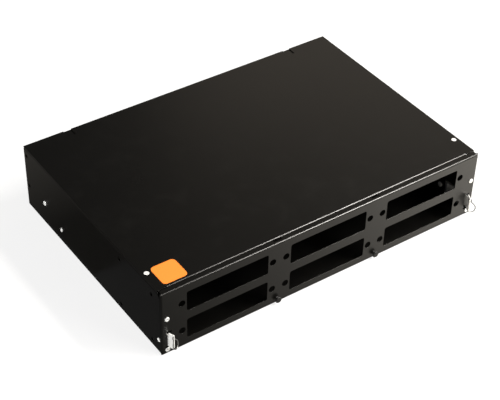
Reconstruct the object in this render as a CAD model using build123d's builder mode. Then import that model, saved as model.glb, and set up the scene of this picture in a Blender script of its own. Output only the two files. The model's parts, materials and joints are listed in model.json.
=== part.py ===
"""Fibre enclosure: a 2U drawer enclosure on ball slides, all sizes in mm."""
from build123d import *
import os

os.makedirs("parts", exist_ok=True)

# Body
body_w = 438.4
body_d = 304.0
body_h = 88.0
sheet = 1.2
bend = 2.0
half_w = body_w / 2
front = -body_d / 2
rear = body_d / 2

# Shell
shell_front = front + 3.0
shell_h = body_h - sheet
wall_in = half_w - sheet
shoulder = 2.8
wall_rear = rear - sheet
seam_x = half_w - bend - sheet
wall_corner = 9.0
side_flange = 19.0
flange_x = half_w - side_flange
rear_flange = 11.5
rack_unit = 44.45
ear_pitch = 66.0
ear_y = (front + 19.3, front + 19.3 + ear_pitch)
ear_z = (body_h - 13.1 - ear_pitch, body_h - 13.1)
rear_ear_y = rear - 6.0
rear_ear_z = (body_h - 10.95 - rack_unit, body_h - 10.95)
ear_hole_r = 2.4
entry_r = 16.0
entry_far = half_w - 51.2
entry_near = half_w - 107.2
entry_x = (-entry_far, -entry_near, entry_near, entry_far)
entry_z = body_h / 2

# Top cover
cover_front = front + 8.0
lip_half = half_w - 12.7
lip_drop = 8.0
lip_relief = 2.5
cover_screw_x = half_w - 5.9
cover_screw_y = front + 37.5
cover_head_r = 3.0
cover_shank_r = 1.5
hook_x = (-half_w + 57.9, half_w - 60.2)
hook_w = 10.4
notch_depth = 12.5
hook_reach = 6.5
label_size = 30.5
label_x = -half_w + 26.8
label_y = front + 26.9
label_t = 0.15
label_r = 5.4

# Front panel
panel_return = 2.6
top_return = 7.0
slot_w = 105.0
slot_h = 27.4
slot_r = 2.5
slot_pitch_x = slot_w + 30.1
slot_pitch_z = slot_h + 12.0
slot_mid_z = body_h / 2 - 0.3
plate_hole_span = slot_w + 12.2
plate_hole_r = 4.2
panel_screw_x = half_w - 6.7
panel_screw_low = 6.3
panel_screw_z = (panel_screw_low, panel_screw_low + rack_unit)
panel_head_r = 3.3
panel_head_h = 1.9
screw_r = 2.0
fit_gap = 0.05
notch_x = slot_pitch_x / 2
notch_w = 10.0
notch_cut = 3.0
knob_x = slot_pitch_x / 2 + 1.7
knob_z = 6.5
knob_r = 3.3
knob_reach = 7.0
knob_neck_r = 1.8
knob_shank_r = 1.5

# Slides
slide_w = 9.8
slide_h = 27.0
slide_z = 19.6
outer_front = front + 2.8
outer_len = body_d - 54.0
outer_rear = outer_front + outer_len
outer_mid = wall_in - sheet / 2
tray_half = wall_in - slide_w
inner_front = front + 26.0
inner_rear = outer_rear + 0.2
inner_len = inner_rear - inner_front
ball_r = 1.5
race_r = ball_r + 0.08
race_out = race_r + sheet
ball_x = tray_half + 4.0
ball_offset = slide_h / 2 - race_out
inner_edge = ball_offset - race_r
cage_len = 64.0
cage_front = outer_front + 96.2
cage_t = 0.6
ball_count = 5
ball_pitch = 12.0
rail_head_r = 2.9
rail_head_h = 1.7
striker_y = outer_front + 2.8
rail_screw_y = outer_rear - 33.1

# Drawer tray
tray_z = 2 * sheet
tray_floor = tray_z + sheet
tray_top = body_h - 30.0
tray_low = slide_z + 14.4
tray_rear = rear - 10.0
tray_front = front + sheet
tray_flange = half_w - 2.2
window_end = front + 36.0
tray_screw_y = (inner_front + 17.0, inner_rear - 53.0)
tray_head_r = 3.5

# Latch
tongue_t = 1.0
tongue_half = inner_edge - 1.34
tongue_x = tray_half + sheet + tongue_t / 2
strike_x = tray_half + 3.6
stud_tip_x = strike_x - 0.8
stud_hole_r = screw_r + 0.5
pivot_x = tray_half + 3.4
pivot_y = inner_front + 5.0
pivot_r = 1.0
tail_y = pivot_y + 7.0
flag_lean = 23.5
flag_reach = 8.2
flag_z = (slide_z - 9.1, slide_z + 11.2)
flag_r = 3.0
latch_slot_x = tray_half + 1.75
latch_slot_w = 6.9
latch_slot_z = slide_z + 0.9
latch_slot_h = 23.0
ring_wire_r = 0.6
ring_hole_r = ring_wire_r + 0.3
ring_edge = 1.35
ring_z = flag_z[1] - 2.6
ring_lean = 25.0
ring_len = 18.4
ring_r = 5.0
spring_t = 0.3
spring_half = 3.5

# Earth point
earth_y = rear - 45.7
earth_z = slide_z + 13.4
earth_head_r = 4.0

# Fittings on the tray
spool_x = half_w - 79.2
spool_y = rear - 100.0
spool_r = 32.0
spool_h = 30.0
spool_t = 2.0
finger_count = 6
finger_len = 12.0
finger_w = 14.0
splice_w = 150.0
splice_d = 110.0
splice_h = 10.0
splice_y = spool_y
splice_t = 1.6
splice_r = 12.0
splice_door = 14.0
comb_count = 7
comb_gap = 5.0
comb_bar = 22.0
stud_r = 2.0
wing_r = 5.0
anchor_x = spool_x
anchor_y = tray_rear - 14.0
anchor_w = 52.0
anchor_d = 10.0
anchor_h = 7.0
cable_r = 4.0
cable_gap = 14.0


def solids_to_step(piece, name):
    """Label a finished piece and write it under its node name."""
    piece.label = name
    export_step(piece, f"parts/{name}.step")


# Shell floor: flat plate welded between the sides and the rear wall
with BuildPart() as shell_floor:
    with Locations((0, (shell_front + wall_rear) / 2, sheet / 2)):
        Box(2 * seam_x, wall_rear - shell_front, sheet)
solids_to_step(shell_floor.part, "shell_floor")

# Shell rear: wall with the cable entries, its top flange folded forwards
with BuildPart() as shell_rear:
    with Locations((0, (wall_rear + rear) / 2, (shell_h - sheet) / 2)):
        Box(2 * seam_x, sheet, shell_h - sheet)
    with Locations((0, rear - rear_flange / 2, shell_h - sheet / 2)):
        Box(2 * flange_x, rear_flange, sheet)
    with BuildSketch(Plane.XZ.offset(-rear)):
        with Locations(*[(x, entry_z) for x in entry_x]):
            Circle(entry_r)
    extrude(amount=2 * sheet, mode=Mode.SUBTRACT)
solids_to_step(shell_rear.part, "shell_rear")

# Shell sides: each wall with its folded foot, rear edge and top flange
for side, word in ((-1, "left"), (1, "right")):
    with BuildPart() as shell_side:
        with Locations((0, (shell_front + rear) / 2, shell_h / 2)):
            Box(body_w, rear - shell_front, shell_h)
        fillet(shell_side.edges().filter_by(Axis.Y).group_by(Axis.Z)[-1], radius=shoulder)
        fillet(shell_side.edges().filter_by(Axis.Y).group_by(Axis.Z)[0], radius=bend)
        offset(amount=-sheet, openings=shell_side.faces().sort_by(Axis.Y)[0])
        with Locations((0, (shell_front + rear) / 2, (shell_h - sheet) / 2)):
            Box(2 * seam_x, rear - shell_front, shell_h - sheet, mode=Mode.SUBTRACT)
        with Locations((0, (shell_front + rear) / 2, shell_h / 2)):
            Box(2 * flange_x, rear - shell_front, shell_h, mode=Mode.SUBTRACT)
        with Locations((-side * half_w, 0, shell_h / 2)):
            Box(body_w, 2 * body_d, 2 * shell_h, mode=Mode.SUBTRACT)
        with BuildSketch(Plane.XY.offset(shell_h)):
            with Locations((0, shell_front + wall_corner / 2)):
                Rectangle(2 * wall_in, wall_corner)
        extrude(amount=-2 * sheet, mode=Mode.SUBTRACT)
        with BuildSketch(Plane.YZ):
            with Locations((shell_front + wall_corner / 2, shell_h - wall_corner / 2)):
                Rectangle(wall_corner, wall_corner)
            with Locations((shell_front + wall_corner, shell_h - wall_corner)):
                Circle(wall_corner, mode=Mode.SUBTRACT)
        extrude(amount=half_w, both=True, mode=Mode.SUBTRACT)
        with BuildSketch(Plane.YZ):
            with Locations(*[(y, z) for y in ear_y for z in ear_z]):
                Circle(ear_hole_r)
            with Locations(*[(rear_ear_y, z) for z in rear_ear_z]):
                Circle(ear_hole_r)
            with Locations((striker_y, slide_z), (rail_screw_y, slide_z)):
                Circle(screw_r + fit_gap)
        extrude(amount=half_w, both=True, mode=Mode.SUBTRACT)
        with BuildSketch(Plane.YZ.offset(-half_w)):
            with Locations((earth_y, earth_z)):
                Circle(screw_r + fit_gap)
        extrude(amount=2 * sheet, mode=Mode.SUBTRACT)
        with Locations((side * cover_screw_x, cover_screw_y, shell_h)):
            Hole(cover_shank_r + fit_gap, depth=2 * sheet)
    solids_to_step(shell_side.part, f"shell_side_{word}")

# Top cover: plate, relieved front lip, rear notches and hooks
with BuildPart() as top_cover:
    with BuildSketch(Plane.XY.offset(shell_h)):
        with Locations((0, (cover_front + lip_relief + rear) / 2)):
            Rectangle(body_w, rear - cover_front - lip_relief)
        corner_w = half_w - lip_half - sheet
        for side in (-1, 1):
            with Locations((side * (half_w - corner_w / 2), cover_front + lip_relief / 2)):
                Rectangle(corner_w, lip_relief)
        with Locations(*[(x, rear - notch_depth / 2) for x in hook_x]):
            Rectangle(hook_w, notch_depth, mode=Mode.SUBTRACT)
    extrude(amount=sheet)
    with BuildSketch(Plane.YZ):
        with BuildLine():
            FilletPolyline(
                (cover_front + lip_relief, body_h - sheet / 2),
                (cover_front + sheet / 2, body_h - sheet / 2),
                (cover_front + sheet / 2, body_h - lip_drop),
                radius=bend - sheet / 2,
            )
        trace(line_width=sheet)
    extrude(amount=lip_half, both=True)
    hook_front = rear - notch_depth - sheet
    for x in hook_x:
        with Locations((x, hook_front + sheet / 2, shell_h - sheet / 2)):
            Box(hook_w - 2 * sheet, sheet, 3 * sheet)
        with Locations((x, hook_front + hook_reach / 2, shell_h - 1.5 * sheet)):
            Box(hook_w - 2 * sheet, hook_reach, sheet)
    with Locations((-cover_screw_x, cover_screw_y, body_h), (cover_screw_x, cover_screw_y, body_h)):
        CounterSinkHole(cover_shank_r + fit_gap, cover_head_r + fit_gap, depth=2 * sheet)
solids_to_step(top_cover.part, "top_cover")

# Cover screws
with BuildPart() as cover_screws:
    for side in (-1, 1):
        with Locations((side * cover_screw_x, cover_screw_y, body_h - sheet / 2)):
            Cone(cover_head_r - sheet, cover_head_r, sheet)
        with Locations((side * cover_screw_x, cover_screw_y, body_h - 2.5 * sheet)):
            Cylinder(cover_shank_r, 3 * sheet)
        with Locations((side * cover_screw_x, cover_screw_y, body_h)):
            Box(3.2, 0.7, 1.0, mode=Mode.SUBTRACT)
            Box(0.7, 3.2, 1.0, mode=Mode.SUBTRACT)
solids_to_step(cover_screws.part, "cover_screws")

# Blank sticker on the cover
with BuildPart() as blank_label:
    with BuildSketch(Plane.XY.offset(body_h)):
        with Locations((label_x, label_y)):
            RectangleRounded(label_size, label_size, label_r)
    extrude(amount=label_t)
solids_to_step(blank_label.part, "blank_label")

# Front panel: folded face with six plate openings
with BuildPart() as front_panel:
    with Locations((0, front + top_return / 2, body_h / 2)):
        Box(body_w, top_return, body_h)
    face_edges = front_panel.faces().sort_by(Axis.Y)[0].edges()
    fillet(face_edges, radius=bend)
    offset(amount=-sheet, openings=front_panel.faces().sort_by(Axis.Y)[-1])
    cut_d = top_return - panel_return
    with Locations((0, front + panel_return + cut_d / 2, shell_h / 2)):
        Box(body_w, cut_d, shell_h, mode=Mode.SUBTRACT)
    for side in (-1, 1):
        with Locations((side * half_w, front + panel_return + cut_d / 2, body_h / 2)):
            Box(2 * bend, cut_d, body_h, mode=Mode.SUBTRACT)
        with Locations((side * notch_x, front + top_return - notch_cut / 2, body_h)):
            Box(notch_w, notch_cut, 3 * sheet, mode=Mode.SUBTRACT)
    with BuildSketch(Plane.XZ.offset(-front)):
        with Locations((0, slot_mid_z)):
            with GridLocations(slot_pitch_x, slot_pitch_z, 3, 2):
                RectangleRounded(slot_w, slot_h, slot_r)
                with GridLocations(plate_hole_span, 0, 2, 1):
                    Circle(plate_hole_r)
        with Locations(*[(side * panel_screw_x, z) for side in (-1, 1) for z in panel_screw_z]):
            Circle(screw_r + fit_gap)
        with Locations((-latch_slot_x, latch_slot_z), (latch_slot_x, latch_slot_z)):
            RectangleRounded(latch_slot_w, latch_slot_h, sheet)
        with Locations((-knob_x, knob_z), (knob_x, knob_z)):
            Circle(knob_shank_r + fit_gap)
    extrude(amount=-2 * sheet, mode=Mode.SUBTRACT)
solids_to_step(front_panel.part, "front_panel")

# Panel screws
with BuildPart() as panel_screws:
    for side in (-1, 1):
        for z in panel_screw_z:
            with BuildSketch(Plane.XZ.offset(-front)):
                with Locations((side * panel_screw_x, z)):
                    Circle(panel_head_r)
            extrude(amount=panel_head_h)
            with BuildSketch(Plane.XZ.offset(-front)):
                with Locations((side * panel_screw_x, z)):
                    Circle(screw_r)
            extrude(amount=-2 * sheet - 0.2)
    rims = panel_screws.edges().group_by(Axis.Y)[0]
    fillet(rims, radius=1.1)
    with BuildSketch(Plane.XZ.offset(-front + panel_head_h)):
        with Locations(*[(side * panel_screw_x, z) for side in (-1, 1) for z in panel_screw_z]):
            Rectangle(3.4, 0.8)
            Rectangle(0.8, 3.4)
    extrude(amount=-1.1, mode=Mode.SUBTRACT)
solids_to_step(panel_screws.part, "panel_screws")

# Pull knobs with their nuts
with BuildPart() as pull_knob_right:
    with BuildSketch(Plane.XY.offset(knob_z)):
        with BuildLine():
            Polyline(
                (knob_x, front + 2.2 * sheet),
                (knob_x + knob_shank_r, front + 2.2 * sheet),
                (knob_x + knob_shank_r, front),
                (knob_x + knob_neck_r + 0.8, front),
                (knob_x + knob_neck_r, front - 0.8),
                (knob_x + knob_neck_r, front - 0.55 * knob_reach),
                (knob_x + knob_r, front - 0.65 * knob_reach),
                (knob_x + knob_r, front - knob_reach + 0.8),
                (knob_x + knob_r - 0.8, front - knob_reach),
                (knob_x, front - knob_reach),
                close=True,
            )
        make_face()
    revolve(axis=Axis((knob_x, front, knob_z), (0, 1, 0)))
solids_to_step(pull_knob_right.part, "pull_knob_right")

with BuildPart() as pull_knob_left:
    mirror(pull_knob_right.part, about=Plane.YZ)
solids_to_step(pull_knob_left.part, "pull_knob_left")

with BuildPart() as knob_nuts:
    with BuildSketch(Plane.XZ.offset(-front - sheet)):
        with Locations((-knob_x, knob_z), (knob_x, knob_z)):
            RegularPolygon(2.6, 6)
            Circle(knob_shank_r + fit_gap, mode=Mode.SUBTRACT)
    extrude(amount=-1.6)
solids_to_step(knob_nuts.part, "knob_nuts")

# Drawer tray: floor, side walls, front flanges behind the panel and a low rear wall
with BuildPart() as drawer_tray:
    tray_len = tray_rear - tray_front
    with Locations((0, (tray_front + tray_rear) / 2, (tray_z + tray_top) / 2)):
        Box(2 * tray_half, tray_len, tray_top - tray_z)
    fillet(drawer_tray.edges().filter_by(Axis.Y).group_by(Axis.Z)[0], radius=bend)
    ends = drawer_tray.faces().sort_by(Axis.Y)[0]
    offset(amount=-sheet, openings=[ends, drawer_tray.faces().sort_by(Axis.Z)[-1]])
    with BuildSketch(Plane.YZ):
        with BuildLine():
            Polyline(
                (front + 70.0, tray_top),
                (front + 94.0, tray_low),
                (tray_rear - 2 * sheet, tray_low),
                (tray_rear - 2 * sheet, tray_low / 2),
                (tray_rear, tray_low / 2),
                (tray_rear, tray_top),
                close=True,
            )
        make_face()
    extrude(amount=half_w, both=True, mode=Mode.SUBTRACT)
    flange_w = tray_flange - tray_half + sheet
    flange_h = tray_top - tray_floor
    for side in (-1, 1):
        with Locations((side * (tray_flange - flange_w / 2), tray_front + sheet / 2, tray_floor + flange_h / 2)):
            Box(flange_w, sheet, flange_h)
        with Locations((side * latch_slot_x, (tray_front + window_end) / 2, latch_slot_z)):
            Box(latch_slot_w, window_end - tray_front, latch_slot_h + 0.8, mode=Mode.SUBTRACT)
    with BuildSketch(Plane.XZ.offset(-tray_front)):
        with Locations(*[(side * panel_screw_x, z) for side in (-1, 1) for z in panel_screw_z]):
            Circle(screw_r)
    extrude(amount=-2 * sheet, mode=Mode.SUBTRACT)
    with BuildSketch(Plane.YZ):
        with Locations(*[(y, slide_z) for y in tray_screw_y]):
            Circle(screw_r + fit_gap)
    extrude(amount=half_w, both=True, mode=Mode.SUBTRACT)
    with Locations((0, splice_y, tray_floor)):
        Hole(stud_r, depth=2 * sheet)
solids_to_step(drawer_tray.part, "drawer_tray")

# Slide outer members: C section with a ball race rolled into each lip
with BuildPart() as slide_outer_right:
    with BuildSketch(Plane.XZ.offset(-outer_rear)):
        for side in (-1, 1):
            with Locations((ball_x, slide_z + side * ball_offset)):
                Circle(race_out)
        inner_h = slide_h - 2 * sheet
        with Locations((ball_x - race_out / 2, slide_z)):
            Rectangle(2 * race_out, 2 * ball_offset - 1.7, mode=Mode.SUBTRACT)
        with Locations((ball_x + race_out / 2, slide_z)):
            Rectangle(race_out, slide_h, mode=Mode.SUBTRACT)
        with Locations((outer_mid, slide_z)):
            Rectangle(sheet, slide_h)
        wall_y = slide_h / 2 - sheet / 2
        for side in (-1, 1):
            with Locations(((ball_x + wall_in) / 2, slide_z + side * wall_y)):
                Rectangle(wall_in - ball_x, sheet)
            with Locations((ball_x, slide_z + side * ball_offset)):
                Circle(race_r, mode=Mode.SUBTRACT)
    extrude(amount=outer_len)
    with BuildSketch(Plane.YZ.offset(wall_in)):
        with Locations(*[(y, ear_z[0]) for y in ear_y]):
            Circle(ear_hole_r + 0.6)
        with Locations((striker_y, slide_z), (rail_screw_y, slide_z)):
            Circle(screw_r)
    extrude(amount=-sheet, mode=Mode.SUBTRACT)
solids_to_step(slide_outer_right.part, "slide_outer_right")

# Slide inner members: shallower channel that runs on the balls from inside
with BuildPart() as slide_inner_right:
    with BuildSketch(Plane.XZ.offset(-inner_rear)):
        for side in (-1, 1):
            with Locations((ball_x, slide_z + side * ball_offset)):
                Circle(race_out)
            with Locations((ball_x, slide_z + side * (ball_offset + race_out - 0.6))):
                Rectangle(2 * race_out, 2 * race_out, mode=Mode.SUBTRACT)
            with Locations((ball_x - race_out / 2, slide_z + side * ball_offset)):
                Rectangle(race_out, 2 * race_out, mode=Mode.SUBTRACT)
        with Locations((tray_half + sheet / 2, slide_z)):
            Rectangle(sheet, 2 * inner_edge)
        for side in (-1, 1):
            with Locations(((tray_half + ball_x) / 2, slide_z + side * (inner_edge - sheet / 2))):
                Rectangle(ball_x - tray_half, sheet)
            with Locations((ball_x, slide_z + side * ball_offset)):
                Circle(race_r, mode=Mode.SUBTRACT)
    extrude(amount=inner_len)
    with Locations((tray_half + sheet / 2, inner_front + 3.5, slide_z)):
        Box(2 * sheet, 7.0, 2 * (inner_edge - sheet), mode=Mode.SUBTRACT)
    with BuildSketch(Plane.YZ.offset(tray_half)):
        with Locations(*[(y, slide_z) for y in tray_screw_y]):
            Circle(screw_r)
    extrude(amount=2 * sheet, mode=Mode.SUBTRACT)
    with BuildSketch(Plane.XY):
        with Locations((pivot_x, pivot_y)):
            Circle(pivot_r)
    extrude(amount=body_h / 2, mode=Mode.SUBTRACT)
solids_to_step(slide_inner_right.part, "slide_inner_right")

# Ball cages: a thin channel with one window for each ball
cage_web_x = wall_in - sheet - 1.0
cage_arm_z = ball_offset + 0.5
ball_ys = [cage_front + 8.0 + i * ball_pitch for i in range(ball_count)]
with BuildPart() as ball_cage_right:
    with BuildSketch(Plane.XZ.offset(-cage_front - cage_len)):
        with Locations((cage_web_x, slide_z)):
            Rectangle(cage_t, 2 * cage_arm_z + cage_t)
        arm_w = cage_web_x + cage_t / 2 - ball_x + 1.0
        for side in (-1, 1):
            with Locations((ball_x - 1.0 + arm_w / 2, slide_z + side * cage_arm_z)):
                Rectangle(arm_w, cage_t)
    extrude(amount=cage_len)
    with BuildSketch(Plane.XY):
        with Locations(*[(ball_x, y) for y in ball_ys]):
            Circle(ball_r + 0.1)
    extrude(amount=body_h / 2, mode=Mode.SUBTRACT)
solids_to_step(ball_cage_right.part, "ball_cage_right")

with BuildPart() as slide_balls_right:
    for side in (-1, 1):
        with Locations(*[(ball_x, y, slide_z + side * ball_offset) for y in ball_ys]):
            Sphere(ball_r)
solids_to_step(slide_balls_right.part, "slide_balls_right")

# Rail screws: the front pair ends in the pins that the latch tongues drop onto
for name, screw_y, tip_x in (("striker_screws", striker_y, stud_tip_x),
                             ("rail_screws", rail_screw_y, outer_mid - 1.6)):
    with BuildPart() as rail_screw:
        with BuildSketch(Plane.YZ.offset(half_w)):
            with Locations((screw_y, slide_z)):
                Circle(rail_head_r)
        extrude(amount=rail_head_h)
        fillet(rail_screw.edges().group_by(Axis.X)[-1], radius=1.2)
        with BuildSketch(Plane.YZ.offset(half_w)):
            with Locations((screw_y, slide_z)):
                Circle(screw_r)
        extrude(amount=tip_x - half_w)
        chamfer(rail_screw.edges().group_by(Axis.X)[0], length=0.4)
        mirror(about=Plane.YZ)
    solids_to_step(rail_screw.part, name)

# Tray screws into the inner members
with BuildPart() as tray_screws:
    for y in tray_screw_y:
        with BuildSketch(Plane.YZ.offset(tray_half - sheet)):
            with Locations((y, slide_z)):
                Circle(tray_head_r)
        extrude(amount=-1.8)
        with BuildSketch(Plane.YZ.offset(tray_half - sheet)):
            with Locations((y, slide_z)):
                Circle(screw_r)
        extrude(amount=2 * sheet + 0.4)
    heads = tray_screws.edges().group_by(Axis.X)[0]
    fillet(heads, radius=1.0)
    mirror(about=Plane.YZ)
solids_to_step(tray_screws.part, "tray_screws")

# Latch tongue: joggled strip with pivot ears, striker hole and a flag outside the panel
flag_dir = Vector(0, -1).rotate(Axis.Z, -flag_lean)
flag_root = Vector(strike_x, front - 0.3)
flag_tip = flag_root + flag_dir * flag_reach
neck_mid = flag_root + flag_dir * 1.6
flag_plane = Plane(
    origin=(flag_root.X, flag_root.Y, 0), x_dir=(flag_dir.X, flag_dir.Y, 0), z_dir=(flag_dir.Y, -flag_dir.X, 0)
)
with BuildPart() as latch_tongue_right:
    with BuildSketch(Plane.XY.offset(slide_z - tongue_half)):
        with BuildLine():
            Polyline(
                (tongue_x, tail_y),
                (tongue_x, striker_y + 6.2),
                (strike_x, striker_y + 3.8),
                (strike_x, flag_root.Y),
                (neck_mid.X, neck_mid.Y),
            )
        trace(line_width=tongue_t)
    extrude(amount=2 * tongue_half)
    with BuildSketch(flag_plane.offset(-tongue_t / 2)):
        with Locations(((flag_reach + 1.0) / 2, sum(flag_z) / 2)):
            Rectangle(flag_reach - 1.0, flag_z[1] - flag_z[0])
        fillet(vertices().group_by(Axis.Y)[0], radius=flag_r)
    extrude(amount=tongue_t)
    with BuildSketch(flag_plane):
        with Locations((flag_reach - ring_edge, ring_z)):
            Circle(ring_hole_r)
    extrude(amount=tongue_t, both=True, mode=Mode.SUBTRACT)
    with BuildSketch(Plane.YZ.offset(strike_x)):
        with Locations((striker_y, slide_z)):
            Circle(stud_hole_r)
    extrude(amount=tongue_t, both=True, mode=Mode.SUBTRACT)
    for side in (-1, 1):
        with Locations((pivot_x, pivot_y, slide_z + side * (tongue_half - tongue_t / 2))):
            Box(2 * (pivot_x - tongue_x), 5.0, tongue_t)
    with BuildSketch(Plane.XY):
        with Locations((pivot_x, pivot_y)):
            Circle(pivot_r + fit_gap)
    extrude(amount=body_h / 2, mode=Mode.SUBTRACT)
solids_to_step(latch_tongue_right.part, "latch_tongue_right")

# Latch pins in the inner member's flanges
with BuildPart() as latch_pins:
    for side in (-1, 1):
        pin_len = inner_edge - tongue_half + tongue_t + 0.6
        with Locations((pivot_x, pivot_y, slide_z + side * (inner_edge - pin_len / 2))):
            Cylinder(pivot_r, pin_len)
    mirror(about=Plane.YZ)
solids_to_step(latch_pins.part, "latch_pins")

# Latch spring: a leaf on the inner member that bears on the tongue's tail
with BuildPart() as latch_spring_right:
    leaf_low = tray_half + sheet + spring_t / 2
    leaf_high = tongue_x + tongue_t / 2 + spring_t / 2
    with BuildSketch(Plane.XY.offset(slide_z - spring_half)):
        with BuildLine():
            Polyline(
                (leaf_low, tray_screw_y[0] + 6.0),
                (leaf_low, tail_y + 2.4),
                (leaf_high, tail_y + 0.8),
                (leaf_high, pivot_y + 3.0),
            )
        trace(line_width=spring_t)
    extrude(amount=2 * spring_half)
    with BuildSketch(Plane.YZ.offset(tray_half)):
        with Locations((tray_screw_y[0], slide_z)):
            Circle(screw_r + fit_gap)
    extrude(amount=3 * sheet, mode=Mode.SUBTRACT)
solids_to_step(latch_spring_right.part, "latch_spring_right")

# Pull ring: wire teardrop through the flag's hole, its neck bearing on the flag's edge
ring_root = flag_tip - flag_dir * ring_edge
ring_down = Vector(0, 0, -1).rotate(
    Axis((0, 0, 0), (flag_dir.Y, -flag_dir.X, 0)), ring_lean
)
ring_plane = Plane(
    origin=(ring_root.X, ring_root.Y, ring_z),
    x_dir=(-flag_dir.Y, flag_dir.X, 0),
    z_dir=Vector(-flag_dir.Y, flag_dir.X, 0).cross(ring_down),
)
neck = 1.4
bow = ring_len - ring_r
half_path = [
    (neck, neck),
    (neck, 2.6 * neck),
    (0.75, 5.0),
    (ring_r * 0.62, bow - ring_r * 0.8),
    (ring_r, bow),
    (ring_r * 0.7, bow + ring_r * 0.72),
]
with BuildPart() as pull_ring_right:
    with BuildLine(ring_plane) as ring_path:
        left_half = [(-x, y) for x, y in reversed(half_path)]
        Spline((0, 0), *half_path, (0, ring_len), *left_half, periodic=True)
    with BuildSketch(Plane(origin=ring_path.line @ 0, z_dir=ring_path.line % 0)):
        Circle(ring_wire_r)
    sweep(path=ring_path.line)
solids_to_step(pull_ring_right.part, "pull_ring_right")

# Left-hand twins of the pieces beside the drawer
twins = {
    "slide_outer_left": slide_outer_right,
    "slide_inner_left": slide_inner_right,
    "ball_cage_left": ball_cage_right,
    "slide_balls_left": slide_balls_right,
    "latch_tongue_left": latch_tongue_right,
    "latch_spring_left": latch_spring_right,
    "pull_ring_left": pull_ring_right,
}
for name, source in twins.items():
    with BuildPart() as twin:
        mirror(source.part, about=Plane.YZ)
    solids_to_step(twin.part, name)

# Earth screw and nut on the left wall
with BuildPart() as earth_screw:
    with BuildSketch(Plane.YZ.offset(-half_w)):
        with Locations((earth_y, earth_z)):
            Circle(earth_head_r)
    extrude(amount=-2.2)
    fillet(earth_screw.edges().group_by(Axis.X)[0], radius=1.2)
    with BuildSketch(Plane.YZ.offset(-half_w)):
        with Locations((earth_y, earth_z)):
            Circle(screw_r)
    extrude(amount=sheet + 5.0)
    with Locations((-half_w - 2.2, earth_y, earth_z)):
        Box(2.0, 3.6, 0.8, mode=Mode.SUBTRACT)
        Box(2.0, 0.8, 3.6, mode=Mode.SUBTRACT)
solids_to_step(earth_screw.part, "earth_screw")

with BuildPart() as earth_nut:
    with BuildSketch(Plane.YZ.offset(-wall_in)):
        with Locations((earth_y, earth_z)):
            RegularPolygon(4.0, 6)
            Circle(screw_r + fit_gap, mode=Mode.SUBTRACT)
    extrude(amount=3.0)
solids_to_step(earth_nut.part, "earth_nut")

# Cable grommets in the rear wall
for number, x in enumerate(entry_x, start=1):
    with BuildPart() as grommet:
        with BuildSketch(Plane.XY.offset(entry_z)):
            with Locations((x + entry_r - 1.0, rear - sheet / 2)):
                Rectangle(6.0, sheet + 4.0)
            fillet(vertices(), radius=1.2)
            with Locations((x + entry_r + 1.5, rear - sheet / 2)):
                Rectangle(3.0, sheet, mode=Mode.SUBTRACT)
        revolve(axis=Axis((x, rear, entry_z), (0, 1, 0)))
    solids_to_step(grommet.part, f"cable_grommet_{number}")

# Slack spools: hub on a base ring, with fingers that keep the fibre down
for name, side in (("slack_spool_left", -1), ("slack_spool_right", 1)):
    with BuildPart() as spool:
        with BuildSketch(Plane.XY.offset(tray_floor)):
            with Locations((side * spool_x, spool_y)):
                Circle(spool_r + finger_len)
                Circle(spool_r - spool_t, mode=Mode.SUBTRACT)
        extrude(amount=spool_t)
        with BuildSketch(Plane.XY.offset(tray_floor)):
            with Locations((side * spool_x, spool_y)):
                Circle(spool_r)
                Circle(spool_r - spool_t, mode=Mode.SUBTRACT)
        extrude(amount=spool_h)
        with BuildSketch(Plane.XY.offset(tray_floor + spool_h)):
            with Locations((side * spool_x, spool_y)):
                with PolarLocations(spool_r - spool_t + finger_len / 2, finger_count):
                    RectangleRounded(finger_len + spool_t, finger_w, spool_t)
        extrude(amount=-spool_t)
    solids_to_step(spool.part, name)

# Splice trays, stacked on one stud
for level in range(2):
    base_z = tray_floor + level * splice_h
    with BuildPart() as splice_tray:
        with BuildSketch(Plane.XY.offset(base_z)):
            with Locations((0, splice_y)):
                RectangleRounded(splice_w, splice_d, splice_r)
        extrude(amount=splice_h)
        offset(amount=-splice_t, openings=splice_tray.faces().sort_by(Axis.Z)[-1])
        with BuildSketch(Plane.XY.offset(base_z)):
            with Locations((0, splice_y)):
                Circle(2 * stud_r + 1.0)
            with Locations((-splice_w / 3, splice_y), (splice_w / 3, splice_y)):
                with GridLocations(0, comb_gap, 1, comb_count):
                    Rectangle(comb_bar, splice_t)
        extrude(amount=splice_h - splice_t)
        with BuildSketch(Plane.XY.offset(base_z)):
            with Locations((0, splice_y)):
                Circle(stud_r + 0.3)
            for side in (-1, 1):
                with Locations((side * splice_w / 3, splice_y + splice_d / 2)):
                    Rectangle(splice_door, 4 * splice_t)
        extrude(amount=splice_h, mode=Mode.SUBTRACT)
    solids_to_step(splice_tray.part, f"splice_tray_{level + 1}")

lid_z = tray_floor + 2 * splice_h
with BuildPart() as splice_lid:
    with BuildSketch(Plane.XY.offset(lid_z)):
        with Locations((0, splice_y)):
            RectangleRounded(splice_w, splice_d, splice_r)
            Circle(stud_r + 0.3, mode=Mode.SUBTRACT)
    extrude(amount=splice_t)
    fillet(splice_lid.edges().group_by(Axis.Z)[-1].filter_by(GeomType.LINE), radius=0.4)
solids_to_step(splice_lid.part, "splice_lid")

with BuildPart() as splice_stud:
    stud_top = lid_z + splice_t + 8.0
    with BuildSketch(Plane.XY.offset(tray_z)):
        with Locations((0, splice_y)):
            Circle(stud_r)
    extrude(amount=stud_top - tray_z)
    chamfer(splice_stud.edges().group_by(Axis.Z)[-1], length=0.5)
solids_to_step(splice_stud.part, "splice_stud")

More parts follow.
